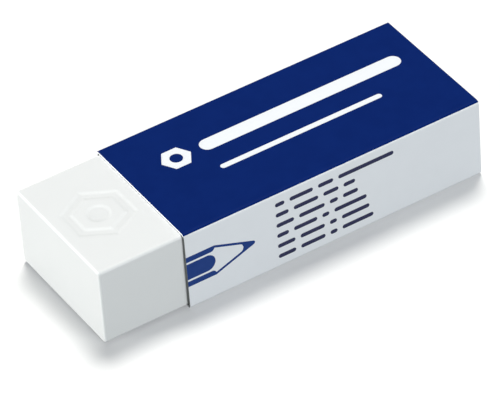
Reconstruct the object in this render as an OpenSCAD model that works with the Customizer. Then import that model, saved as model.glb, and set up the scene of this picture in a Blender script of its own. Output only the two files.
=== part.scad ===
// White vinyl block eraser in a folded card sleeve.
// The block slides in the sleeve; one end stands out of it, ready for use.
// Origin: on the surface that the sleeve lies on, under the middle of the block.
// +X runs from the end in use to the covered end, +Z is up. Millimetres.

/* [Block] */
// Length of the block
block_l = 65; // [62:0.5:90]
// Width of the block
block_w = 23; // [18:0.5:40]
// Height of the block
block_h = 13; // [11:0.5:20]
// Radius along the four long edges of the block
long_edge_r = 0.5; // [0.4:0.05:1.5]
// Radius round the edges of the two cut ends
end_edge_r = 0.3; // [0.1:0.05:1]

/* [Pressed mark] */
// Width of the pressed hexagon, across its corners
mark_w = 11; // [5:0.5:12]
// Width of the pressed groove
mark_groove_w = 1.3; // [0.5:0.1:1.8]
// Diameter of the round dimple in the middle of the hexagon
mark_dimple_d = 3.4; // [1:0.1:4]
// Depth of the pressed mark
mark_depth = 0.25; // [0.1:0.05:0.6]

/* [Sleeve] */
// Thickness of the card
card_t = 0.3; // [0.2:0.05:0.4]
// Length of block that stands out of the sleeve
exposed_l = 14; // [12.5:0.5:17]
// Outside radius of the folds
fold_r = 0.6; // [0.5:0.05:0.7]
// Height of the glued flap inside the double wall
glue_flap_h = 9.5; // [4:0.5:10]
// Play between the block and the printed wall
near_play = 0.4; // [0.1:0.05:0.6]
// Play between the block and the glued wall
far_play = 0.05; // [0.05:0.01:0.2]
// Play between the block and the bottom panel
bottom_play = 0.05; // [0.05:0.01:0.2]
// Play between the block and the top panel
top_play = 0.05; // [0.05:0.01:0.4]

/* [Top print] */
// Thickness of the printed ink, both prints
ink_t = 0.04; // [0.02:0.01:0.06]
// How far the blue field runs round the folds, in degrees
field_wrap = 40; // [10:5:80]
// Distance from the sleeve's open edge to the printed figures
figures_inset = 5.9; // [2:0.1:8]
// Distance from the glued side of the top panel to the broad bar
figures_drop = 7.3; // [5:0.1:9]
// Width of the hexagon ring, across its corners
ring_w = 5; // [3:0.1:6]
// Width of the round hole in the hexagon ring
ring_hole_d = 2; // [1:0.1:2.4]
// Gap between the hexagon ring and the two bars
ring_gap = 1.6; // [0.5:0.1:3]
// Distance from the broad bar to the covered end of the sleeve
bar_margin = 3.5; // [1:0.5:20]
// Height of the broad bar
broad_bar_h = 2.6; // [1:0.1:4]
// How much shorter the thin bar is
thin_bar_short = 7; // [0:0.5:20]
// Height of the thin bar
thin_bar_h = 1; // [0.5:0.1:2]
// Distance between the middles of the two bars
bars_pitch = 5.6; // [3.5:0.1:7]

/* [Side print] */
// Width of the pencil's shaft
pencil_w = 5.4; // [3:0.1:8]
// Length of the pencil's shaft
shaft_l = 4.8; // [2:0.1:6]
// Length of the pencil's sharpened cone, to where its sides meet
cone_l = 7.4; // [4:0.1:9]
// Length of the lead, to where the cone's sides meet
lead_l = 3; // [1.5:0.1:3.5]
// Width of the lead's blunt tip
lead_tip_w = 0.6; // [0.2:0.05:0.8]
// Width of the cone's outline
line_w = 0.4; // [0.2:0.05:0.6]
// Gap between the pencil's facets
facet_gap = 0.35; // [0.2:0.05:0.6]
// Distance from the sleeve's open edge to the rows of dashes
dash_inset = 15.3; // [13:0.1:20]
// Height of the dashes
dash_h = 0.7; // [0.3:0.05:0.9]
// Distance from one row of dashes to the next
dash_pitch = 1.9; // [1.2:0.1:2]
// Gap between the dashes of a row
dash_gap = 0.9; // [0.5:0.1:1.5]

/* [Hidden] */
$fn = 48;

// Lengths of the dashes, row by row from the top.
DASH_ROWS = [
    [1.6, 4, 2.6, 9.6],
    [2.2, 4.2, 2.6, 2],
    [3, 4.4, 1.4, 2.6],
    [2, 4, 1.2, 5.6],
    [3, 4.2, 1.2, 4.8],
    [3, 4.2, 1.2, 5.4]
];

cut = 1;  // how far a cutter runs past the face that it opens

// Inside of the folded tube, from the block and its play.
inner_y0 = -block_w/2 - near_play;
inner_y1 = block_w/2 + far_play;
inner_z1 = card_t + bottom_play + block_h + top_play;

// Outside of the tube. The glued wall is two cards thick.
outer_y0 = inner_y0 - card_t;
outer_y1 = inner_y1 + 2*card_t;
outer_z1 = inner_z1 + card_t;

// Ends of the block and of the sleeve along X.
block_x0 = -block_l/2;
block_x1 = block_l/2;
sleeve_x0 = block_x0 + exposed_l;
sleeve_l = block_x1 - sleeve_x0;

block_z0 = card_t + bottom_play;

// Flat part of the top panel, between its folds.
panel_y0 = outer_y0 + fold_r;
panel_y1 = outer_y1 - fold_r;

// Middle height of the printed wall.
wall_mid_z = outer_z1/2;

// Rectangle with rounded corners, its lower left corner at the origin.
module rounded_rect(w, h, r) {
    translate([r, 0]) square([w - 2*r, h]);
    translate([0, r]) square([w, h - 2*r]);
    for (x = [r, w - r], y = [r, h - r]) translate([x, y]) circle(r);
}

// Sweeps a profile drawn in Y and Z along X, from x0 over length l.
module along_x(x0, l) {
    translate([x0, 0, 0]) rotate([90, 0, 90]) linear_extrude(l) children();
}

// Hexagon with corners on its first axis, given across its corners.
module hexagon(w) {
    circle(d = w, $fn = 6);
}

// ---- Block ----

// The moulded block before its mark: three rounded bars that cross,
// so that every edge is rounded.
module rounded_block() {
    intersection() {
        along_x(block_x0, block_l)
            translate([-block_w/2, block_z0])
                rounded_rect(block_w, block_h, long_edge_r);
        translate([block_x0, -block_w/2, block_z0])
            linear_extrude(block_h)
                rounded_rect(block_l, block_w, end_edge_r);
        translate([block_x0, block_w/2, block_z0])
            rotate([90, 0, 0]) linear_extrude(block_w)
                rounded_rect(block_l, block_h, end_edge_r);
    }
}

// The pressed mark: a pencil's end, as a hexagon with its core.
module mark_outline() {
    rotate(90) difference() {
        hexagon(mark_w);
        hexagon(mark_w - 2*mark_groove_w/cos(30));
    }
    circle(d = mark_dimple_d);
}

module eraser_block() {
    color("white") difference() {
        rounded_block();
        translate([block_x0 + exposed_l/2, 0, block_z0 + block_h - mark_depth])
            linear_extrude(mark_depth + cut) mark_outline();
    }
}

// ---- Sleeve ----

// A quarter of a fold, its centre at the origin, in the quadrant that
// starts at angle turn. skin is the wall's thickness, r its outside radius.
module fold(turn, r, skin) {
    rotate(turn) difference() {
        intersection() {
            circle(r);
            square(r);
        }
        circle(r - skin);
    }
}

// Section of the folded sheet. It starts at the raw edge at the foot of the
// outer far wall, runs over the top, down the printed wall, along the bottom
// and up inside the far wall as the glued flap.
module sleeve_section() {
    flap_y1 = outer_y1 - card_t;
    // outer far wall, from its raw edge up to the fold
    translate([flap_y1, fold_r]) square([card_t, outer_z1 - 2*fold_r]);
    translate([panel_y1, outer_z1 - fold_r]) fold(0, fold_r, card_t);
    // top panel
    translate([panel_y0, outer_z1 - card_t]) square([panel_y1 - panel_y0, card_t]);
    translate([panel_y0, outer_z1 - fold_r]) fold(90, fold_r, card_t);
    // printed wall
    translate([outer_y0, fold_r]) square([card_t, outer_z1 - 2*fold_r]);
    translate([panel_y0, fold_r]) fold(180, fold_r, card_t);
    // bottom panel
    translate([panel_y0, 0]) square([flap_y1 - fold_r - panel_y0, card_t]);
    translate([flap_y1 - fold_r, fold_r]) fold(270, fold_r, card_t);
    // glued flap
    translate([flap_y1 - card_t, fold_r]) square([card_t, glue_flap_h]);
}

module card_sleeve() {
    color("whitesmoke") along_x(sleeve_x0, sleeve_l) sleeve_section();
}

// ---- Print on the top panel ----

// Section of the blue field: the flat and a part of both folds.
module field_section() {
    translate([panel_y0, outer_z1]) square([panel_y1 - panel_y0, ink_t]);
    for (side = [0, 1]) {
        translate([side == 0 ? panel_y1 : panel_y0, outer_z1 - fold_r])
            mirror([side, 0]) wrapped_ink();
    }
}

// Ink on a fold, from the top of the arc down over field_wrap degrees.
module wrapped_ink() {
    difference() {
        fold(0, fold_r + ink_t, ink_t);
        rotate(-field_wrap) square(2*fold_r);
    }
}

// Bare figures left open in the field: a hexagon ring and two bars.
module top_figures() {
    bars_x = figures_inset + ring_w + ring_gap;
    broad_bar_l = sleeve_l - bars_x - bar_margin;
    broad_y = -figures_drop - broad_bar_h/2;
    translate([figures_inset + ring_w/2, broad_y]) difference() {
        hexagon(ring_w);
        circle(d = ring_hole_d);
    }
    translate([bars_x, broad_y - broad_bar_h/2]) bar(broad_bar_l, broad_bar_h);
    translate([bars_x, broad_y - bars_pitch - thin_bar_h/2])
        bar(broad_bar_l - thin_bar_short, thin_bar_h);
}

// A bar with round ends, its lower left corner at the origin.
module bar(l, h) {
    translate([h/2, 0]) square([l - h, h]);
    for (x = [h/2, l - h/2]) translate([x, h/2]) circle(d = h);
}

module top_print() {
    color("#0f2a6e") difference() {
        along_x(sleeve_x0, sleeve_l) field_section();
        translate([sleeve_x0, outer_y1, outer_z1 - cut])
            linear_extrude(2*cut + ink_t) top_figures();
    }
}

// ---- Print on the printed wall ----

// The shaft's middle facet, with a round far end, its foot on the first axis.
module middle_facet(h) {
    square([shaft_l - h/2, h]);
    translate([shaft_l - h/2, h/2]) circle(d = h);
}

// The shaft's two side facets and the sharpened cone, in one outline. The
// cone is a thin line, with the lead solid at its blunt tip.
module side_facets_and_cone(facet_h) {
    tip_x = shaft_l + cone_l;
    lead_x = tip_x - lead_l;
    half = pencil_w/2;
    slope = half/cone_l;
    line_rise = line_w*sqrt(1 + slope*slope);
    blunt_x = tip_x - lead_tip_w/2/slope;
    hollow = lead_l/8;
    inner_x = lead_x + line_rise/slope/7;
    inner_y = (tip_x - inner_x)*slope - line_rise;
    polygon([
        [0, half],
        [0, half - facet_h],
        [shaft_l - facet_h, half - facet_h],
        [shaft_l, half - line_rise],
        [inner_x, inner_y],
        [lead_x + hollow, 0],
        [inner_x, -inner_y],
        [shaft_l, line_rise - half],
        [shaft_l - facet_h, facet_h - half],
        [0, facet_h - half],
        [0, -half],
        [shaft_l, -half],
        [blunt_x, -lead_tip_w/2],
        [blunt_x, lead_tip_w/2],
        [shaft_l, half]
    ]);
}

// A pencil's point, lying along the first axis, its axis on the first axis.
module pencil() {
    side_facet_h = (pencil_w - 2*facet_gap)/5;
    middle_facet_h = 3*side_facet_h;
    translate([0, -middle_facet_h/2]) middle_facet(middle_facet_h);
    side_facets_and_cone(side_facet_h);
}

// Length of the first n dashes of a row, each with its gap.
function dash_start(row, n) = n == 0 ? 0 : dash_start(row, n - 1) + row[n - 1] + dash_gap;

// Rows of plain dashes, the middle of the block of rows on the first axis.
module dashes() {
    rows = len(DASH_ROWS);
    for (r = [0 : rows - 1]) {
        row_y = ((rows - 1)/2 - r)*dash_pitch;
        for (d = [0 : len(DASH_ROWS[r]) - 1])
            translate([dash_start(DASH_ROWS[r], d), row_y - dash_h/2])
                bar(DASH_ROWS[r][d], dash_h);
    }
}

module side_print() {
    color("#23408a")
        translate([sleeve_x0, outer_y0, wall_mid_z])
            rotate([90, 0, 0]) linear_extrude(ink_t) {
                pencil();
                translate([dash_inset, 0]) dashes();
            }
}

eraser_block();
card_sleeve();
top_print();
side_print();
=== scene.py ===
"""A white vinyl eraser in its folded card sleeve, dressed for rendering.

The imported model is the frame: every piece here takes its place from it and rides on
one of its two bodies, "block" or "sleeve". Lengths are in metres.
"""

import logging
import math
from dataclasses import dataclass, field
from enum import Enum
from typing import Callable, Iterable, Sequence

import bmesh
import bpy
from bmesh.types import BMEdge, BMesh, BMFace, BMVert
from mathutils import Matrix, Vector


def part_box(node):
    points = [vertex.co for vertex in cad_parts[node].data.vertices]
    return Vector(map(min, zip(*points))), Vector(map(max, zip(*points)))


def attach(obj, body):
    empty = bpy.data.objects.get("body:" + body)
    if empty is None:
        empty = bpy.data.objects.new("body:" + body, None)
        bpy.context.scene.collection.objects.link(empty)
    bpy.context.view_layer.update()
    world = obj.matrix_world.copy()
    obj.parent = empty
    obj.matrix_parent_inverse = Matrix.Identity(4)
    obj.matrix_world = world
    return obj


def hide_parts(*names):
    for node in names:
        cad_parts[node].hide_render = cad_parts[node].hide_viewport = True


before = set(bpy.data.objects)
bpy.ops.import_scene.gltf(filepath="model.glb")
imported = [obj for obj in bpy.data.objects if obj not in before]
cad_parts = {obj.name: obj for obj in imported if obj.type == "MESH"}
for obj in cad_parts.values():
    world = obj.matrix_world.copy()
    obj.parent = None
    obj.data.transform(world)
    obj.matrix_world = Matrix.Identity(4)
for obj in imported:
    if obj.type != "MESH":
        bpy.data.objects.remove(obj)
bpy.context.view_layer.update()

MM = 0.001
CLOSE = 0.01 * MM  # Places nearer than this count as one.
ARC_STEPS = 6  # The steps in a rounded edge, a rounded corner or a fold.
END_FULLNESS = 0.999  # A round end's radius over half its height; 1 would double a point.
HEX_FLATS = math.cos(math.radians(30))  # A hexagon's width across its flats over its corners.
QUARTER_TURN = math.radians(90)

Pair = tuple[float, float]
Point = tuple[float, float, float]
Colour = tuple[float, float, float]

log = logging.getLogger("eraser")


class Body(Enum):
    """The two bodies that a piece can ride on."""

    BLOCK = "block"
    SLEEVE = "sleeve"


class Slot(Enum):
    """The record's material slots."""

    VINYL = "vinyl"
    CARD = "card"
    FIELD_INK = "field_ink"
    LINE_INK = "line_ink"


class BlockSide(Enum):
    """The block's materials, in the order of their slots."""

    SIDES = 0
    END_EDGES = 1


class CardSide(Enum):
    """A sheet's materials, in the order of their slots."""

    FACE = 0
    BACK = 1
    CUT_EDGE = 2


# ---------------------------------------------------------------- mesh helpers


def smoothstep(value: float) -> float:
    """Ease from 0 to 1 with flat ends.

    Args:
        value: Where along the step, clamped to 0 to 1.

    Returns:
        The eased value.
    """
    t = min(max(value, 0.0), 1.0)
    return t * t * (3.0 - 2.0 * t)


def edges_where(bm: BMesh, test: Callable[[Vector, Vector], bool]) -> list[BMEdge]:
    """Pick the edges whose two ends pass a test.

    Args:
        bm: The mesh to search.
        test: Called with the places of an edge's two ends.

    Returns:
        The edges that pass.
    """
    return [edge for edge in bm.edges if test(edge.verts[0].co, edge.verts[1].co)]


def round_edges(
    bm: BMesh, edges: list[BMEdge], radius: float, segments: int = ARC_STEPS
) -> list[BMFace]:
    """Round some edges with an arc.

    Args:
        bm: The mesh to change.
        edges: The edges to round.
        radius: The arc's radius.
        segments: How many faces make the arc.

    Returns:
        The faces of the arcs.
    """
    rounded = bmesh.ops.bevel(
        bm,
        geom=edges,
        offset=radius,
        offset_type="OFFSET",
        segments=segments,
        profile=0.5,
        affect="EDGES",
        material=-1,
    )
    return rounded["faces"]


def round_corners(
    bm: BMesh, corners: list[BMVert], length: float, segments: int = ARC_STEPS
) -> None:
    """Round some corners of flat faces.

    Args:
        bm: The mesh to change.
        corners: The corners' vertices.
        length: How far from the corner the arc starts.
        segments: How many edges make the arc.
    """
    bmesh.ops.bevel(
        bm,
        geom=corners,
        offset=length,
        offset_type="OFFSET",
        segments=segments,
        profile=0.5,
        affect="VERTICES",
        material=-1,
    )


def slice_along_x(bm: BMesh, places: Iterable[float]) -> None:
    """Cut the whole mesh across X.

    Args:
        bm: The mesh to cut.
        places: Where along X each cut goes.
    """
    for place in places:
        bmesh.ops.bisect_plane(
            bm,
            geom=bm.verts[:] + bm.edges[:] + bm.faces[:],
            plane_co=(place, 0.0, 0.0),
            plane_no=(1.0, 0.0, 0.0),
        )


def add_flat_bar(bm: BMesh, corner: Pair, size: Pair) -> None:
    """Add a flat bar with round ends in the XY plane, facing +Z.

    Args:
        bm: The mesh that it is added to.
        corner: Its lower left corner, x and y.
        size: Its length and height.
    """
    centre = Vector((corner[0] + size[0] / 2, corner[1] + size[1] / 2, 0.0))
    place = Matrix.Translation(centre) @ Matrix.Diagonal((size[0], size[1], 1.0, 1.0))
    made = bmesh.ops.create_grid(bm, x_segments=1, y_segments=1, size=0.5, matrix=place)
    round_corners(bm, made["verts"], size[1] / 2 * END_FULLNESS)


def finish_piece(
    bm: BMesh,
    name: str,
    materials: Sequence[bpy.types.Material],
    smooth: bool = True,
) -> bpy.types.Object:
    """Turn a mesh into an object at the origin.

    Args:
        bm: The mesh, which is freed.
        name: The piece's name.
        materials: Its materials, in slot order.
        smooth: Whether it is shaded smooth.

    Returns:
        The object, linked to the scene.
    """
    for face in bm.faces:
        face.smooth = smooth
    mesh = bpy.data.meshes.new(name)
    bm.to_mesh(mesh)
    bm.free()
    for material in materials:
        mesh.materials.append(material)
    piece = bpy.data.objects.new(name, mesh)
    bpy.context.scene.collection.objects.link(piece)
    return piece


def thicken(piece: bpy.types.Object, thickness: float, split_materials: bool = False) -> None:
    """Give a sheet its thickness, measured inwards from its faces.

    Args:
        piece: The sheet.
        thickness: How thick it becomes.
        split_materials: Whether its back and its cut edges have materials of their own.
    """
    shell = piece.modifiers.new("thickness", "SOLIDIFY")
    shell.thickness = thickness
    shell.offset = -1.0
    shell.use_even_offset = True
    if split_materials:
        shell.material_offset = CardSide.BACK.value
        shell.material_offset_rim = CardSide.CUT_EDGE.value


def even_shading(piece: bpy.types.Object) -> None:
    """Keep broad flat faces evenly shaded beside their rounded edges."""
    weighted = piece.modifiers.new("even_shading", "WEIGHTED_NORMAL")
    weighted.keep_sharp = True


def put_in_frame(piece: bpy.types.Object, body: Body, nodes: Sequence[str]) -> None:
    """Attach a piece to the body that it moves with, and hide the CAD nodes that it stands for.

    Args:
        piece: The finished piece.
        body: The body that it moves with.
        nodes: The CAD nodes that it stands for.
    """
    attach(piece, body.value)
    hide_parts(*nodes)


# ------------------------------------------------------------- node utilities

COARSE_DETAIL = 3.0  # The finer octaves in the coarse mottle.
FINE_DETAIL = 4.0  # The finer octaves in the fine grain.
FINE_ROUGHNESS = 0.6  # How strong those of the fine grain are.
COARSE_SPAN = (0.35, 0.65)  # Where nearly all values of the coarse mottle lie.
FINE_SPAN = (0.3, 0.7)  # Where nearly all values of the fine grain lie.
SOAK_DEPTH = 0.6 * MM  # How deep light soaks into a finish.

# The colour sockets of a Mix node go by number, because other sockets share their names.
MIX_FIRST, MIX_SECOND, MIX_RESULT = 6, 7, 2


class NodeBench:
    """A small helper that adds and links nodes in one tree."""

    def __init__(self, tree: bpy.types.NodeTree) -> None:
        """Keep the tree that nodes are added to."""
        self.tree = tree

    def add(self, kind: str, **settings: object) -> bpy.types.Node:
        """Add a node.

        Args:
            kind: The node's type name.
            **settings: Properties set on the node.

        Returns:
            The new node.
        """
        node = self.tree.nodes.new(kind)
        for key, value in settings.items():
            setattr(node, key, value)
        return node

    def link(self, source: bpy.types.NodeSocket, target: bpy.types.NodeSocket) -> None:
        """Link an output to an input."""
        self.tree.links.new(source, target)

    def remap(self, value: bpy.types.NodeSocket, span: Pair, onto: Pair) -> bpy.types.NodeSocket:
        """Map a range of values onto another, clamped.

        Args:
            value: The value to map.
            span: The range's lowest and highest values.
            onto: What they become.

        Returns:
            The mapped value's socket.
        """
        node = self.add("ShaderNodeMapRange")
        self.link(value, node.inputs["Value"])
        for name, number in zip(("From Min", "From Max", "To Min", "To Max"), span + onto):
            node.inputs[name].default_value = number
        return node.outputs["Result"]


def build_grain_group() -> bpy.types.NodeTree:
    """Build the grain that every surface shares: a coarse and a fine mottle.

    Returns:
        A group with inputs Coarse and Fine (features per metre) and Stretch (how much
        the fine grain is drawn out along X), and outputs Mottle and Height, 0 to 1.
    """
    group = bpy.data.node_groups.new("surface_grain", "ShaderNodeTree")
    sockets = {"INPUT": ("Coarse", "Fine", "Stretch"), "OUTPUT": ("Mottle", "Height")}
    for way, names in sockets.items():
        for name in names:
            group.interface.new_socket(name=name, in_out=way, socket_type="NodeSocketFloat")
    bench = NodeBench(group)
    inputs = bench.add("NodeGroupInput")
    outputs = bench.add("NodeGroupOutput")
    coords = bench.add("ShaderNodeTexCoord").outputs["Object"]
    coarse = bench.add("ShaderNodeTexNoise")
    coarse.inputs["Detail"].default_value = COARSE_DETAIL
    bench.link(coords, coarse.inputs["Vector"])
    bench.link(inputs.outputs["Coarse"], coarse.inputs["Scale"])
    drawn_out = bench.add("ShaderNodeCombineXYZ")
    bench.link(inputs.outputs["Stretch"], drawn_out.inputs["X"])
    drawn_out.inputs["Y"].default_value = 1.0
    drawn_out.inputs["Z"].default_value = 1.0
    divide = bench.add("ShaderNodeVectorMath", operation="DIVIDE")
    bench.link(coords, divide.inputs[0])
    bench.link(drawn_out.outputs["Vector"], divide.inputs[1])
    fine = bench.add("ShaderNodeTexNoise")
    fine.inputs["Detail"].default_value = FINE_DETAIL
    fine.inputs["Roughness"].default_value = FINE_ROUGHNESS
    bench.link(divide.outputs["Vector"], fine.inputs["Vector"])
    bench.link(inputs.outputs["Fine"], fine.inputs["Scale"])
    bench.link(coarse.outputs["Fac"], outputs.inputs["Mottle"])
    bench.link(fine.outputs["Fac"], outputs.inputs["Height"])
    return group


GRAIN_GROUP = build_grain_group()


@dataclass(frozen=True)
class Finish:
    """A surface finish: a colour that drifts a little, a gloss and a fine grain.

    Attributes:
        name: The material's name.
        colour: Its colour where the mottle is lightest, linear.
        shade: Its colour where the mottle is darkest, linear.
        roughness: Its lowest and highest roughness.
        specular: Its specular level.
        coarse: The mottle's features per metre.
        fine: The grain's features per metre.
        stretch: How far the grain is drawn out along X.
        bump_height: The grain's height.
        subsurface: How far light soaks in, as a weight.
        sheen: The weight of its soft fuzz.
    """

    name: str
    colour: Colour
    shade: Colour
    roughness: Pair
    specular: float
    coarse: float
    fine: float
    stretch: float = 1.0
    bump_height: float = 0.004 * MM
    subsurface: float = 0.0
    sheen: float = 0.0

    def material(self) -> bpy.types.Material:
        """Build the finish as a node material.

        Returns:
            The material.
        """
        made = bpy.data.materials.new(self.name)
        made.use_nodes = True
        made.diffuse_color = (*self.colour, 1.0)
        bench = NodeBench(made.node_tree)
        shader = made.node_tree.nodes["Principled BSDF"]
        grain = bench.add("ShaderNodeGroup", node_tree=GRAIN_GROUP)
        grain.inputs["Coarse"].default_value = self.coarse
        grain.inputs["Fine"].default_value = self.fine
        grain.inputs["Stretch"].default_value = self.stretch
        mix = bench.add("ShaderNodeMix", data_type="RGBA")
        mottle = bench.remap(grain.outputs["Mottle"], COARSE_SPAN, (0.0, 1.0))
        bench.link(mottle, mix.inputs["Factor"])
        mix.inputs[MIX_FIRST].default_value = (*self.shade, 1.0)
        mix.inputs[MIX_SECOND].default_value = (*self.colour, 1.0)
        bench.link(mix.outputs[MIX_RESULT], shader.inputs["Base Color"])
        rough = bench.remap(grain.outputs["Height"], FINE_SPAN, self.roughness)
        bench.link(rough, shader.inputs["Roughness"])
        bump = bench.add("ShaderNodeBump")
        bump.inputs["Distance"].default_value = self.bump_height
        bench.link(grain.outputs["Height"], bump.inputs["Height"])
        bench.link(bump.outputs["Normal"], shader.inputs["Normal"])
        shader.inputs["Specular IOR Level"].default_value = self.specular
        shader.inputs["Subsurface Weight"].default_value = self.subsurface
        shader.inputs["Subsurface Radius"].default_value = (1.0, 1.0, 1.0)
        shader.inputs["Subsurface Scale"].default_value = SOAK_DEPTH
        shader.inputs["Sheen Weight"].default_value = self.sheen
        return made


VINYL = Finish(
    name="white_vinyl",
    colour=(0.695, 0.71, 0.70),
    shade=(0.685, 0.70, 0.69),
    roughness=(0.45, 0.6),
    specular=0.35,
    coarse=90.0,
    fine=5000.0,
    subsurface=0.15,
)
# Painted highlight: a lighter copy of the vinyl for the rounded end edges, so that they show as
# bright lines.
VINYL_EDGE_HIGHLIGHT = Finish(
    name="vinyl_edge_painted_highlight",
    colour=(0.77, 0.79, 0.78),
    shade=(0.755, 0.775, 0.765),
    roughness=(0.4, 0.5),
    specular=0.4,
    coarse=300.0,
    fine=5000.0,
    subsurface=0.15,
)
COATED_CARD = Finish(
    name="coated_card",
    colour=(0.755, 0.78, 0.80),
    shade=(0.745, 0.77, 0.79),
    roughness=(0.38, 0.5),
    specular=0.4,
    coarse=250.0,
    fine=4500.0,
    stretch=2.0,
)
CARD_BACK = Finish(
    name="card_back",
    colour=(0.46, 0.46, 0.445),
    shade=(0.442, 0.442, 0.427),
    roughness=(0.8, 0.95),
    specular=0.2,
    coarse=900.0,
    fine=3500.0,
    stretch=3.0,
    bump_height=0.015 * MM,
    sheen=0.1,
)
CARD_EDGE = Finish(
    name="cut_card_edge",
    colour=(0.90, 0.91, 0.92),
    shade=(0.82, 0.83, 0.84),
    roughness=(0.8, 0.95),
    specular=0.2,
    coarse=2500.0,
    fine=9000.0,
    bump_height=0.02 * MM,
)
# Painted shade: a dark grey copy of the white cut edge, for the near wall's rim, which lies in
# the block's shadow.
SHADED_CARD_EDGE = Finish(
    name="card_edge_painted_shade",
    colour=(0.36, 0.37, 0.365),
    shade=(0.346, 0.355, 0.35),
    roughness=(0.8, 0.95),
    specular=0.2,
    coarse=2500.0,
    fine=9000.0,
    bump_height=0.02 * MM,
)
FIELD_INK = Finish(
    name="navy_field_ink",
    colour=(0.0012, 0.0150, 0.120),
    shade=(0.0008, 0.0135, 0.112),
    roughness=(0.42, 0.52),
    specular=0.02,
    coarse=400.0,
    fine=5000.0,
    stretch=1.5,
)
LINE_INK = Finish(
    name="blue_line_ink",
    colour=(0.0205, 0.052, 0.210),
    shade=(0.0185, 0.048, 0.198),
    roughness=(0.45, 0.55),
    specular=0.03,
    coarse=500.0,
    fine=5000.0,
)
SMALL_PRINT_INK = Finish(
    name="dark_small_print_ink",
    colour=(0.040, 0.042, 0.092),
    shade=(0.034, 0.036, 0.082),
    roughness=(0.45, 0.55),
    specular=0.03,
    coarse=500.0,
    fine=5000.0,
)
WHITE_FLOOR = Finish(
    name="white_floor",
    colour=(0.722, 0.7235, 0.696),
    shade=(0.717, 0.7185, 0.691),
    roughness=(0.9, 1.0),
    specular=0.0,
    coarse=3.0,
    fine=900.0,
    bump_height=0.0,
)


# --------------------------------------------------------------------- studio


@dataclass(frozen=True)
class SoftLight:
    """A broad even light.

    Attributes:
        name: The light's name.
        height: Its height above the horizon, in degrees.
        bearing: The side that it comes from, in degrees from +Y towards +X.
        strength: Its strength.
        spread: How wide it is, in degrees.
        colour: Its colour.
    """

    name: str
    height: float
    bearing: float
    strength: float
    spread: float
    colour: Colour = (1.0, 1.0, 1.0)


OVERHEAD = SoftLight(
    name="overhead_softbox",
    height=68.8,
    bearing=37.0,
    strength=2.97,
    spread=20.0,
    colour=(1.0, 0.988, 0.985),
)
END_LIGHT = SoftLight(
    name="end_light",
    height=2.0,
    bearing=-72.0,
    strength=5.15,
    spread=16.0,
)
FRONT_FILL = SoftLight(
    name="front_fill",
    height=4.0,
    bearing=160.0,
    strength=3.2,
    spread=30.0,
    colour=(0.941, 0.966, 1.0),
)


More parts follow.
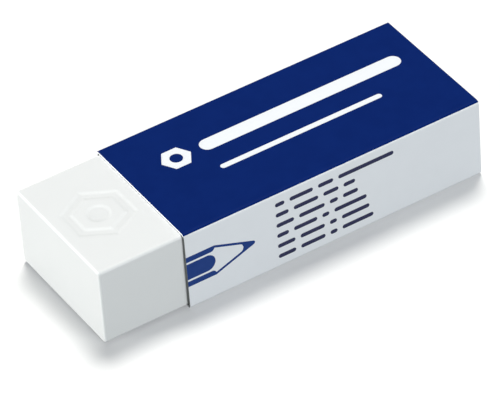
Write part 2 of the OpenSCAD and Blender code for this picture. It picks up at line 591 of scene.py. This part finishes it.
@dataclass
class Studio:
    """The camera, the light and the floor.

    Attributes:
        aim_mm: The point that the camera looks at, in millimetres.
        azimuth: The camera's bearing in degrees; 0 looks along +Y.
        elevation: Its height above the horizon, in degrees.
        roll: Its turn about its own axis, in degrees.
        distance: From the aim to the lens.
        lens_mm: The focal length.
        sensor_mm: The sensor's width.
        clip: The nearest and the furthest distance that the camera sees.
        floor_half: Half the floor's width.
        floor_drop: How far the floor lies below the part, so that they don't share a plane.
        floor_glow: How far the floor glows, as a light table does.
        glow_colour: The colour of that glow.
        sky_colour: The colour of the even light from all round.
        sky_strength: The strength of that light.
        backdrop_strength: How bright the backdrop is to the camera.
        lights: The main light, which casts the soft shadow, the light on the end in
            use, and the light on the near walls.
    """

    aim_mm: Point = (-0.316, 0.11, 3.25)
    azimuth: float = -29.92
    elevation: float = 39.613
    roll: float = -4.333
    distance: float = 664 * MM
    lens_mm: float = 326.1
    sensor_mm: float = 36.0
    clip: Pair = (0.01, 50.0)
    floor_half: float = 3.0
    floor_drop: float = 0.02 * MM
    floor_glow: float = 0.2124
    glow_colour: Colour = (0.895, 0.9115, 1.0)
    sky_colour: Colour = (0.92, 0.985, 1.0)
    sky_strength: float = 0.2
    backdrop_strength: float = 1.2
    lights: tuple[SoftLight, ...] = (OVERHEAD, END_LIGHT, FRONT_FILL)

    def build(self) -> None:
        """Make the camera, the lights, the surroundings and the floor."""
        self.make_camera()
        self.make_floor()
        self.make_surroundings()
        for light in self.lights:
            self.make_sun(light)
        bpy.context.scene.view_settings.view_transform = "Standard"

    def make_camera(self) -> None:
        """Place the camera on its bearing and make it the scene's camera."""
        bearing, height, roll = (
            math.radians(angle) for angle in (self.azimuth, self.elevation, self.roll)
        )
        back = Vector(
            (
                math.sin(bearing) * math.cos(height),
                -math.cos(bearing) * math.cos(height),
                math.sin(height),
            )
        )
        level = Vector((math.cos(bearing), math.sin(bearing), 0.0))
        upright = back.cross(level)
        right = level * math.cos(roll) + upright * math.sin(roll)
        above = upright * math.cos(roll) - level * math.sin(roll)
        data = bpy.data.cameras.new("camera")
        data.sensor_width = self.sensor_mm
        data.lens = self.lens_mm
        data.clip_start, data.clip_end = self.clip
        camera = bpy.data.objects.new("camera", data)
        turn = Matrix((right, above, back)).transposed()
        place = Vector(self.aim_mm) * MM + back * self.distance
        camera.matrix_world = Matrix.Translation(place) @ turn.to_4x4()
        bpy.context.scene.collection.objects.link(camera)
        bpy.context.scene.camera = camera

    def make_floor(self) -> None:
        """Lay a plain white floor under the part."""
        bm = bmesh.new()
        bmesh.ops.create_grid(bm, x_segments=2, y_segments=2, size=self.floor_half)
        material = WHITE_FLOOR.material()
        floor = finish_piece(bm, "floor", [material])
        shader = material.node_tree.nodes["Principled BSDF"]
        shader.inputs["Emission Color"].default_value = (*self.glow_colour, 1.0)
        shader.inputs["Emission Strength"].default_value = self.floor_glow
        floor.data.transform(Matrix.Translation((0.0, 0.0, -self.floor_drop)))
        floor.visible_diffuse = False

    def make_surroundings(self) -> None:
        """Give the world a soft even light and a white backdrop."""
        world = bpy.data.worlds.new("studio_white")
        world.use_nodes = True
        bench = NodeBench(world.node_tree)
        light = world.node_tree.nodes["Background"]
        light.inputs["Color"].default_value = (*self.sky_colour, 1.0)
        light.inputs["Strength"].default_value = self.sky_strength
        backdrop = bench.add("ShaderNodeBackground")
        backdrop.inputs["Strength"].default_value = self.backdrop_strength
        seen = bench.add("ShaderNodeLightPath")
        mix = bench.add("ShaderNodeMixShader")
        bench.link(seen.outputs["Is Camera Ray"], mix.inputs["Fac"])
        bench.link(light.outputs["Background"], mix.inputs[1])
        bench.link(backdrop.outputs["Background"], mix.inputs[2])
        bench.link(mix.outputs["Shader"], world.node_tree.nodes["World Output"].inputs["Surface"])
        bpy.context.scene.world = world

    def make_sun(self, light: SoftLight) -> None:
        """Add a broad even light.

        Args:
            light: What it is like.
        """
        data = bpy.data.lights.new(light.name, "SUN")
        data.energy = light.strength
        data.angle = math.radians(light.spread)
        data.color = light.colour
        lamp = bpy.data.objects.new(light.name, data)
        up, side = math.radians(light.height), math.radians(light.bearing)
        from_where = Vector(
            (math.sin(side) * math.cos(up), math.cos(side) * math.cos(up), math.sin(up))
        )
        lamp.rotation_mode = "QUATERNION"
        lamp.rotation_quaternion = from_where.to_track_quat("Z", "Y")
        bpy.context.scene.collection.objects.link(lamp)


# ---------------------------------------------------------------------- block


@dataclass
class EraserBlock:
    """The white vinyl block with the mark pressed in the end in use.

    Attributes:
        long_edge_r: The radius of the long edges.
        end_edge_r: The radius round the cut ends.
        end_edge_steps: The steps in the rounding of those ends.
        exposed_l: The length that stands out of the sleeve.
        mark_w: The pressed hexagon's width, across its corners.
        groove_w: The pressed groove's width.
        dimple_r: The radius of the dimple in the middle.
        mark_depth: How deep the mark is pressed.
        mark_softness: The width over which its walls round off.
        patch_inset: From the rounded ends to the slice that holds the mark.
        patch_margin: The smooth border left round the finely divided patch in it.
        patch_cuts: How many cuts divide that patch each way.
        swell: How far the top swells, so that it bears on the card.
    """

    long_edge_r: float = 0.5 * MM
    end_edge_r: float = 0.3 * MM
    end_edge_steps: int = 4
    exposed_l: float = 14 * MM
    mark_w: float = 11 * MM
    groove_w: float = 1.3 * MM
    dimple_r: float = 1.7 * MM
    mark_depth: float = 0.1 * MM
    mark_softness: float = 0.7 * MM
    patch_inset: float = 0.1 * MM
    patch_margin: float = 1.2 * MM
    patch_cuts: int = 120
    swell: float = 0.035 * MM

    def build(self) -> list[bpy.types.Object]:
        """Build the block, press its mark and put it in the frame.

        Returns:
            The finished piece.
        """
        low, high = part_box("eraser_block")
        high = high + Vector((0.0, 0.0, self.swell))
        bm = self.rounded_block(low, high)
        self.press_mark(bm, low, high)
        piece = finish_piece(bm, "vinyl_block", [VINYL.material(), VINYL_EDGE_HIGHLIGHT.material()])
        even_shading(piece)
        put_in_frame(piece, Body.BLOCK, ["eraser_block"])
        return [piece]

    def rounded_block(self, low: Vector, high: Vector) -> BMesh:
        """Make the block with all its edges rounded.

        Args:
            low: The block's lowest corner.
            high: Its highest corner.

        Returns:
            The block's mesh.
        """
        bm = bmesh.new()
        bmesh.ops.create_cube(bm, size=1.0)
        bmesh.ops.scale(bm, vec=high - low, verts=bm.verts[:])
        bmesh.ops.translate(bm, vec=(low + high) / 2, verts=bm.verts[:])
        along_x = edges_where(bm, lambda a, b: abs(a.x - b.x) > CLOSE)
        round_edges(bm, along_x, self.long_edge_r)
        at_ends = edges_where(
            bm, lambda a, b: max(a.x, b.x) < low.x + CLOSE or min(a.x, b.x) > high.x - CLOSE
        )
        # The end edges take the lighter vinyl, a painted highlight.
        for face in round_edges(bm, at_ends, self.end_edge_r, self.end_edge_steps):
            face.material_index = BlockSide.END_EDGES.value
        return bm

    def press_mark(self, bm: BMesh, low: Vector, high: Vector) -> None:
        """Press the hexagon and its core into the top of the end in use.

        Args:
            bm: The block's mesh.
            low: The block's lowest corner.
            high: Its highest corner.
        """
        start = low.x + self.end_edge_r + self.patch_inset
        centre = Vector((low.x + self.exposed_l / 2, (low.y + high.y) / 2, high.z))
        slice_along_x(bm, [start, 2 * centre.x - start])
        in_use = [
            face for face in bm.faces if abs(face.calc_center_median().x - centre.x) < CLOSE
        ]
        patch = max(in_use, key=lambda face: face.calc_center_median().z)
        bmesh.ops.inset_individual(bm, faces=[patch], thickness=self.patch_margin)
        bmesh.ops.subdivide_edges(
            bm, edges=list(patch.edges), cuts=self.patch_cuts, use_grid_fill=True
        )
        for vert in bm.verts:
            if vert.co.z > high.z - CLOSE:
                vert.co.z -= self.depth_at(vert.co.x - centre.x, vert.co.y - centre.y)

    def depth_at(self, x: float, y: float) -> float:
        """How deep the mark is at a place.

        Args:
            x: The place along X, from the mark's middle.
            y: The place along Y, from the mark's middle.

        Returns:
            The depth, 0 outside the mark.
        """
        from_middle = max(abs(x), abs(x) / 2 + abs(y) * HEX_FLATS)
        outer = self.mark_w / 2 * HEX_FLATS
        in_groove = min(outer - from_middle, from_middle - (outer - self.groove_w))
        in_dimple = self.dimple_r - math.hypot(x, y)
        inside = max(in_groove, in_dimple)
        return self.mark_depth * smoothstep(0.5 + inside / self.mark_softness)


# --------------------------------------------------------------------- sleeve


@dataclass
class CardSleeve:
    """The folded card sleeve, one sheet glued to itself along the far wall.

    Attributes:
        card_t: The card's thickness.
        fold_r: The folds' outside radius.
        glue_flap_h: The height of the flap inside the far wall.
        glue_t: The thickness of the glue line.
        lean: How far the foot of the near wall leans out at the open end.
        lean_left: The share of that lean which is left at the covered end.
        slack: How far the near wall is drawn in elsewhere.
        cuts: How many cuts divide the sleeve along its length.
        edge_r: The rounding of the cut edges.
        edge_steps: The steps in that rounding.
        edge_angle: The least angle of an edge that is rounded, in degrees.
        low: The sleeve's lowest corner, from the frame.
        high: Its highest corner, from the frame.
    """

    card_t: float = 0.3 * MM
    fold_r: float = 0.6 * MM
    glue_flap_h: float = 9.5 * MM
    glue_t: float = 0.02 * MM
    lean: float = 0.12 * MM
    lean_left: float = 0.5
    slack: float = 0.28 * MM
    cuts: int = 16
    edge_r: float = 0.03 * MM
    edge_steps: int = 2
    edge_angle: float = 60.0
    low: Vector = field(init=False)
    high: Vector = field(init=False)

    def __post_init__(self) -> None:
        """Take the sleeve's box from the frame."""
        self.low, self.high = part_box("card_sleeve")

    def wall_shift(self, x: float, z: float) -> float:
        """How far the near wall stands inside its straight place.

        Args:
            x: The place along the sleeve.
            z: The height.

        Returns:
            The shift along +Y.
        """
        along = (x - self.low.x) / (self.high.x - self.low.x)
        drop = 1.0 - min(max(z / (self.high.z - self.fold_r), 0.0), 1.0)
        return self.slack - self.lean * drop * (1.0 - (1.0 - self.lean_left) * along)

    def outline(self) -> list[Pair]:
        """The sheet's outer side in section, from the raw foot of the far wall to the flap.

        Returns:
            Its corners, y and z.
        """
        far = self.high.y
        flap = far - self.card_t - self.glue_t
        near = self.low.y
        return [
            (far, self.fold_r),
            (far, self.high.z),
            (near, self.high.z),
            (near, 0.0),
            (flap, 0.0),
            (flap, self.fold_r + self.glue_flap_h),
        ]

    def build(self) -> list[bpy.types.Object]:
        """Fold the sheet and put it in the frame.

        Returns:
            The finished piece.
        """
        bm = bmesh.new()
        verts = [bm.verts.new((self.low.x, y, z)) for y, z in self.outline()]
        edges = [bm.edges.new(pair) for pair in zip(verts, verts[1:])]
        swept = bmesh.ops.extrude_edge_only(bm, edges=edges)
        moved = [item for item in swept["geom"] if isinstance(item, BMVert)]
        bmesh.ops.translate(bm, vec=(self.high.x - self.low.x, 0.0, 0.0), verts=moved)
        folds = [edge for edge in bm.edges if len(edge.link_faces) == 2]
        round_edges(bm, folds, self.fold_r)
        step = (self.high.x - self.low.x) / (self.cuts + 1)
        slice_along_x(bm, [self.low.x + step * (i + 1) for i in range(self.cuts)])
        self.face_outwards(bm)
        self.shape_near_wall(bm)
        self.mark_near_wall_shaded_edge(bm)
        card, back = COATED_CARD.material(), CARD_BACK.material()
        # The last three slots are the near wall's; its cut edge is painted shade.
        materials = [card, back, CARD_EDGE.material(), card, back, SHADED_CARD_EDGE.material()]
        piece = finish_piece(bm, "folded_card", materials)
        thicken(piece, self.card_t, split_materials=True)
        soften = piece.modifiers.new("cut_edges", "BEVEL")
        soften.width = self.edge_r
        soften.segments = self.edge_steps
        soften.limit_method = "ANGLE"
        soften.angle_limit = math.radians(self.edge_angle)
        even_shading(piece)
        put_in_frame(piece, Body.SLEEVE, ["card_sleeve"])
        return [piece]

    def face_outwards(self, bm: BMesh) -> None:
        """Turn the sheet's faces so that the top panel faces up.

        Args:
            bm: The folded sheet.
        """
        bm.normal_update()
        top = max(bm.faces, key=lambda face: face.calc_center_median().z)
        if top.normal.z < 0:
            bmesh.ops.reverse_faces(bm, faces=bm.faces[:])

    def mark_near_wall_shaded_edge(self, bm: BMesh) -> None:
        """Give the near wall the second set of materials, whose cut edge is darker: painted shade
        where that rim lies in the block's shadow.

        Args:
            bm: The folded sheet.
        """
        inner_edge = self.low.y + self.fold_r
        middle_of_fold = self.high.z - self.fold_r / 2
        for face in bm.faces:
            centre = face.calc_center_median()
            if centre.y < inner_edge and centre.z < middle_of_fold:
                face.material_index = len(CardSide)

    def shape_near_wall(self, bm: BMesh) -> None:
        """Let the near wall lean, and its two folds with it.

        Args:
            bm: The folded sheet.
        """
        inner_edge = self.low.y + self.fold_r + CLOSE
        for vert in bm.verts:
            if vert.co.y < inner_edge:
                vert.co.y += self.wall_shift(vert.co.x, vert.co.z)


# ---------------------------------------------------------------------- print


@dataclass
class TopPrint:
    """The blue field on the top panel, with a ring and two bars left bare.

    Attributes:
        sleeve: The sleeve that carries it.
        lift: How far the ink's face stands over the card.
        ink_t: The ink's thickness.
        wrap: How far the field runs round the folds, in degrees.
        inset: From the open edge to the figures.
        drop: From the far side of the panel to the broad bar.
        ring_w: The hexagon ring's width, across its corners.
        ring_hole_r: The radius of the dot of ink in its middle.
        ring_hole_steps: How many edges that dot has.
        ring_gap: From the ring to the bars.
        margin: From the broad bar to the covered end.
        broad_h: The broad bar's height.
        thin_short: How much shorter the thin bar is.
        thin_h: The thin bar's height.
        pitch: From the middle of one bar to the middle of the other.
    """

    sleeve: CardSleeve
    lift: float = 0.02 * MM
    ink_t: float = 0.03 * MM
    wrap: float = 50.0
    inset: float = 5.9 * MM
    drop: float = 7.3 * MM
    ring_w: float = 5 * MM
    ring_hole_r: float = 1 * MM
    ring_hole_steps: int = 32
    ring_gap: float = 1.6 * MM
    margin: float = 3.5 * MM
    broad_h: float = 2.6 * MM
    thin_short: float = 7 * MM
    thin_h: float = 1 * MM
    pitch: float = 5.6 * MM

    def build(self) -> list[bpy.types.Object]:
        """Print the field and put it in the frame.

        Returns:
            The finished piece.
        """
        low, high = self.sleeve.low, self.sleeve.high
        bm = bmesh.new()
        ring_centre = Vector(
            (low.x + self.inset + self.ring_w / 2, high.y - self.drop - self.broad_h / 2, 0.0)
        )
        self.draw_bars(bm, ring_centre)
        self.draw_hexagon(bm, ring_centre)
        self.draw_border(bm)
        bmesh.ops.delete(bm, geom=bm.faces[:], context="FACES_ONLY")
        bmesh.ops.triangle_fill(bm, use_beauty=True, edges=bm.edges[:], normal=(0.0, 0.0, 1.0))
        bmesh.ops.create_circle(
            bm,
            cap_ends=True,
            segments=self.ring_hole_steps,
            radius=self.ring_hole_r,
            matrix=Matrix.Translation(ring_centre),
        )
        bmesh.ops.translate(bm, vec=(0.0, 0.0, high.z + self.lift), verts=bm.verts[:])
        self.wrap_folds(bm)
        bmesh.ops.recalc_face_normals(bm, faces=bm.faces[:])
        self.face_up(bm)
        piece = finish_piece(bm, "blue_field", [FIELD_INK.material()], smooth=False)
        thicken(piece, self.ink_t)
        put_in_frame(piece, Body.SLEEVE, ["top_print"])
        return [piece]

    def face_up(self, bm: BMesh) -> None:
        """Turn every face of the field outwards.

        Args:
            bm: The field.
        """
        bm.normal_update()
        down = [face for face in bm.faces if face.normal.z < 0]
        bmesh.ops.reverse_faces(bm, faces=down)

    def draw_bars(self, bm: BMesh, ring_centre: Vector) -> None:
        """Outline the two bars, beside the ring.

        Args:
            bm: The mesh that holds the outlines.
            ring_centre: The middle of the ring.
        """
        start = ring_centre.x + self.ring_w / 2 + self.ring_gap
        broad_l = self.sleeve.high.x - self.margin - start
        add_flat_bar(bm, (start, ring_centre.y - self.broad_h / 2), (broad_l, self.broad_h))
        add_flat_bar(
            bm,
            (start, ring_centre.y - self.pitch - self.thin_h / 2),
            (broad_l - self.thin_short, self.thin_h),
        )

    def draw_hexagon(self, bm: BMesh, ring_centre: Vector) -> None:
        """Outline the hexagon, with corners along X.

        Args:
            bm: The mesh that holds the outlines.
            ring_centre: The middle of the ring.
        """
        place = Matrix.Translation(ring_centre) @ Matrix.Rotation(QUARTER_TURN, 4, "Z")
        bmesh.ops.create_circle(bm, segments=6, radius=self.ring_w / 2, matrix=place)

    def draw_border(self, bm: BMesh) -> None:
        """Outline the flat part of the field.

        Args:
            bm: The mesh that holds the outlines.
        """
        low, high, fold = self.sleeve.low, self.sleeve.high, self.sleeve.fold_r
        near = low.y + self.sleeve.slack + fold
        corners = [
            (low.x, near),
            (high.x, near),
            (high.x, high.y - fold),
            (low.x, high.y - fold),
        ]
        verts = [bm.verts.new((x, y, 0.0)) for x, y in corners]
        for first, second in zip(verts, verts[1:] + verts[:1]):
            bm.edges.new((first, second))

    def wrap_folds(self, bm: BMesh) -> None:
        """Carry the field round both folds of the top panel.

        Args:
            bm: The field, at its height.
        """
        low, high, fold = self.sleeve.low, self.sleeve.high, self.sleeve.fold_r
        for place, turn in (
            (high.y - fold, -self.wrap),
            (low.y + self.sleeve.slack + fold, self.wrap),
        ):
            side = edges_where(bm, lambda a, b: max(abs(a.y - place), abs(b.y - place)) < CLOSE)
            bmesh.ops.spin(
                bm,
                geom=side + list({vert for edge in side for vert in edge.verts}),
                cent=(0.0, place, high.z - fold),
                axis=(1.0, 0.0, 0.0),
                angle=math.radians(turn),
                steps=ARC_STEPS,
            )


@dataclass
class SidePrint:
    """The pencil's point and the rows of dashes on the near wall.

    Attributes:
        sleeve: The sleeve that carries it.
        lift: How far the ink's face stands off the card.
        ink_t: The ink's thickness.
        pencil_w: The shaft's width.
        facet_gap: The gap between the shaft's facets.
        middle_facet: The middle facet's height, in heights of a side facet.
        middle_steps: The steps in the middle facet's round end.
        facet_setback: How far the side facets stop short of the cone, in their heights.
        facet_round: How far their inner corners are rounded, in their heights.
        shaft_l: The shaft's length.
        cone_l: The sharpened cone's length, to where its sides meet.
        lead_l: The lead's length, to the same place.
        lead_bow: How far the middle of the lead's back stands forward, in lead lengths.
        lead_corner: How far its corners stand forward, in lengths over which the cone
            narrows by the width of one line.
        lead_tip_w: The width of the lead's blunt tip.
        line_w: The width of the cone's outline.
        line_round: How far the outline's inner corners are rounded, in line widths.
        dash_inset: From the open edge to the rows.
        dash_h: The dashes' height.
        dash_pitch: From one row to the next.
        dash_gap: The gap between dashes.
        dash_rows: The dashes' lengths in millimetres, row by row.
    """

    sleeve: CardSleeve
    lift: float = 0.02 * MM
    ink_t: float = 0.03 * MM
    pencil_w: float = 5.4 * MM
    facet_gap: float = 0.35 * MM
    middle_facet: int = 3
    middle_steps: int = 10
    facet_setback: float = 0.3
    facet_round: float = 0.4
    shaft_l: float = 4.8 * MM
    cone_l: float = 7.4 * MM
    lead_l: float = 3.0 * MM
    lead_bow: float = 0.125
    lead_corner: float = 1 / 7
    lead_tip_w: float = 0.7 * MM
    line_w: float = 0.4 * MM
    line_round: float = 0.6
    dash_inset: float = 15.3 * MM
    dash_h: float = 0.7 * MM
    dash_pitch: float = 1.9 * MM
    dash_gap: float = 0.9 * MM
    dash_rows: tuple[tuple[float, ...], ...] = (
        (1.6, 4, 2.6, 9.6),
        (2.2, 4.2, 2.6, 2),
        (3, 4.4, 1.4, 2.6),
        (2, 4, 1.2, 5.6),
        (3, 4.2, 1.2, 4.8),
        (3, 4.2, 1.2, 5.4),
    )

    def build(self) -> list[bpy.types.Object]:
        """Print the pencil and the dashes and put them in the frame.

        Returns:
            The two finished pieces.
        """
        pencil = self.on_wall(self.draw_pencil(), "pencil_sign", LINE_INK.material())
        put_in_frame(pencil, Body.SLEEVE, ["side_print"])
        dashes = self.on_wall(self.draw_dashes(), "dash_rows", SMALL_PRINT_INK.material())
        put_in_frame(dashes, Body.SLEEVE, ["side_print"])
        return [pencil, dashes]

    def on_wall(self, bm: BMesh, name: str, ink: bpy.types.Material) -> bpy.types.Object:
        """Lay a flat drawing on the near wall.

        Args:
            bm: The drawing, in the XY plane, from the open edge and the wall's middle.
            name: The piece's name.
            ink: Its material.

        Returns:
            The finished piece.
        """
        low, high = self.sleeve.low, self.sleeve.high
        place = Vector((low.x, low.y - self.lift, (low.z + high.z) / 2))
        turn = Matrix.Rotation(QUARTER_TURN, 4, "X")
        bmesh.ops.transform(bm, matrix=Matrix.Translation(place) @ turn, verts=bm.verts[:])
        for vert in bm.verts:
            vert.co.y += self.sleeve.wall_shift(vert.co.x, vert.co.z)
        piece = finish_piece(bm, name, [ink], smooth=False)
        thicken(piece, self.ink_t)
        return piece

    def draw_pencil(self) -> BMesh:
        """Draw a pencil's point that lies along the first axis.

        Returns:
            The drawing.
        """
        bm = bmesh.new()
        facet_h = (self.pencil_w - 2 * self.facet_gap) / (self.middle_facet + 2)
        self.draw_middle_facet(bm, self.middle_facet * facet_h)
        self.draw_sides_and_cone(bm, facet_h)
        return bm

    def draw_middle_facet(self, bm: BMesh, height: float) -> None:
        """Draw the shaft's middle facet, square at the card's edge and round at its end.

        Args:
            bm: The drawing.
            height: Its height.
        """
        path = [
            (0.0, -height / 2),
            (self.shaft_l, -height / 2),
            (self.shaft_l, height / 2),
            (0.0, height / 2),
        ]
        verts = [bm.verts.new((x, y, 0.0)) for x, y in path]
        bm.faces.new(verts)
        round_corners(bm, verts[1:3], height / 2 * END_FULLNESS, self.middle_steps)

    def draw_sides_and_cone(self, bm: BMesh, facet_h: float) -> None:
        """Draw the side facets and the cone's outline, the lead solid at its tip.

        Args:
            bm: The drawing.
            facet_h: The height of a side facet.
        """
        half = self.pencil_w / 2
        slope = half / self.cone_l
        tip = self.shaft_l + self.cone_l  # Where the cone's sides would meet.
        front = tip - self.lead_tip_w / 2 * (math.hypot(1.0, slope) / slope - 1.0)
        front_half = (tip - front) * slope
        rise = self.line_w * math.hypot(1.0, slope)  # The line's width, measured upright.
        back = tip - self.lead_l
        inner = back + self.lead_corner * rise / slope
        inner_half = (tip - inner) * slope - rise
        end = self.shaft_l - self.facet_setback * facet_h
        path = [
            (0.0, -half),
            (self.shaft_l, -half),
            (front, -front_half),
            (front, front_half),
            (self.shaft_l, half),
            (0.0, half),
            (0.0, half - facet_h),
            (end, half - facet_h),
            (self.shaft_l, half - rise),
            (inner, inner_half),
            (back + self.lead_bow * self.lead_l, 0.0),
            (inner, -inner_half),
            (self.shaft_l, rise - half),
            (end, facet_h - half),
            (0.0, facet_h - half),
        ]
        vert_at = {point: bm.verts.new((*point, 0.0)) for point in path}
        bm.faces.new(list(vert_at.values()))
        for (x, y), length in (
            ((front, -front_half), END_FULLNESS * front_half),
            ((end, half - facet_h), self.facet_round * facet_h),
            ((inner, inner_half), self.line_round * self.line_w),
        ):
            round_corners(bm, [vert_at[x, y], vert_at[x, -y]], length)

    def draw_dashes(self) -> BMesh:
        """Draw the rows of dashes, centred on the wall's middle.

        Returns:
            The drawing.
        """
        bm = bmesh.new()
        rows = len(self.dash_rows)
        for index, row in enumerate(self.dash_rows):
            foot = ((rows - 1) / 2 - index) * self.dash_pitch - self.dash_h / 2
            start = self.dash_inset
            for length in row:
                add_flat_bar(bm, (start, foot), (length * MM, self.dash_h))
                start += length * MM + self.dash_gap
        return bm


# ----------------------------------------------------------------------- main


def main() -> None:
    """Build the studio and every piece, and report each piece."""
    logging.basicConfig(level=logging.INFO, format="%(name)s: %(message)s")
    Studio().build()
    sleeve = CardSleeve()
    for part in (EraserBlock(), sleeve, TopPrint(sleeve), SidePrint(sleeve)):
        for piece in part.build():
            log.info("%s: %d faces", piece.name, len(piece.data.polygons))


if __name__ == "__main__":
    main()
